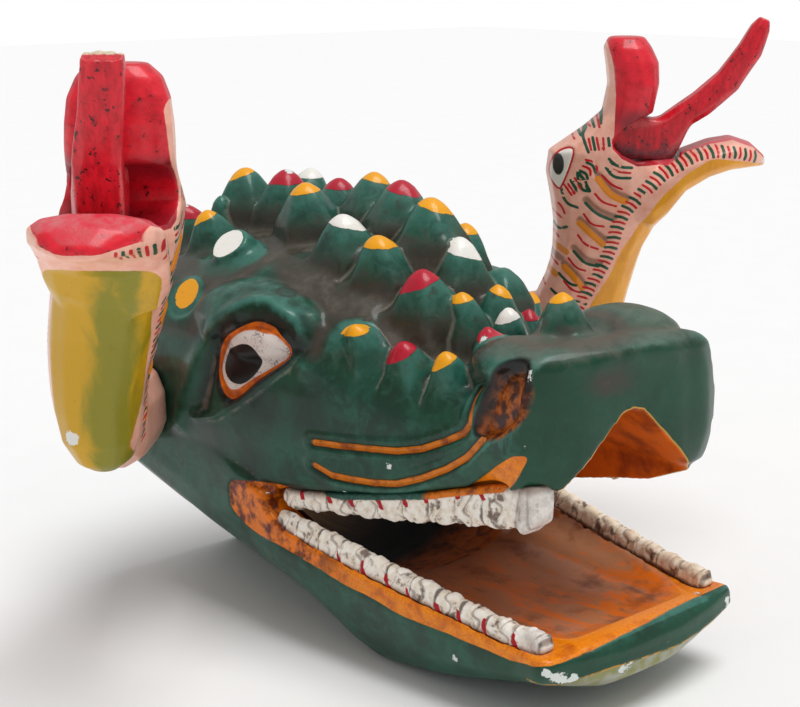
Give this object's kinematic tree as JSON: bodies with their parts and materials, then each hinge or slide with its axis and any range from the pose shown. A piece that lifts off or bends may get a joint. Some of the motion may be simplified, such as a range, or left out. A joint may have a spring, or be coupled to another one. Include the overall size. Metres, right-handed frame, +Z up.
{
  "type": "wooden dance mask of a caiman with two snakes",
  "caption": "Hollow painted wooden caiman head with an open mouth, a spiked crown and an open-mouthed snake carried on each side.",
  "frame": {"origin": "middle of the mask's bounding box, on the surface that it rests on", "axes": "the caiman faces -Y, +Z is up, +X is towards the caiman's left; x = 0 is the mirror plane of the head"},
  "size_m": [0.645, 0.432, 0.4237],
  "materials": {
    "painted_green": "aged gloss paint over carved wood, chipped",
    "painted_teeth": "aged cream paint, dirty in the notches",
    "painted_pink": "satin paint with brushed strokes",
    "painted_red": "gloss paint, worn at the tip",
    "bare_wood": "bare"
  },
  "bodies": {
    "root": {"caiman_head": "painted_green", "upper_teeth_right": "painted_teeth", "upper_teeth_left": "painted_teeth", "lower_teeth_right": "painted_teeth", "lower_teeth_left": "painted_teeth", "snake_right": "painted_pink", "snake_left": "painted_pink", "tongue_right": "painted_red", "tongue_left": "painted_red", "peg_right": "bare_wood", "peg_left": "bare_wood"}
  },
  "joints": []
}
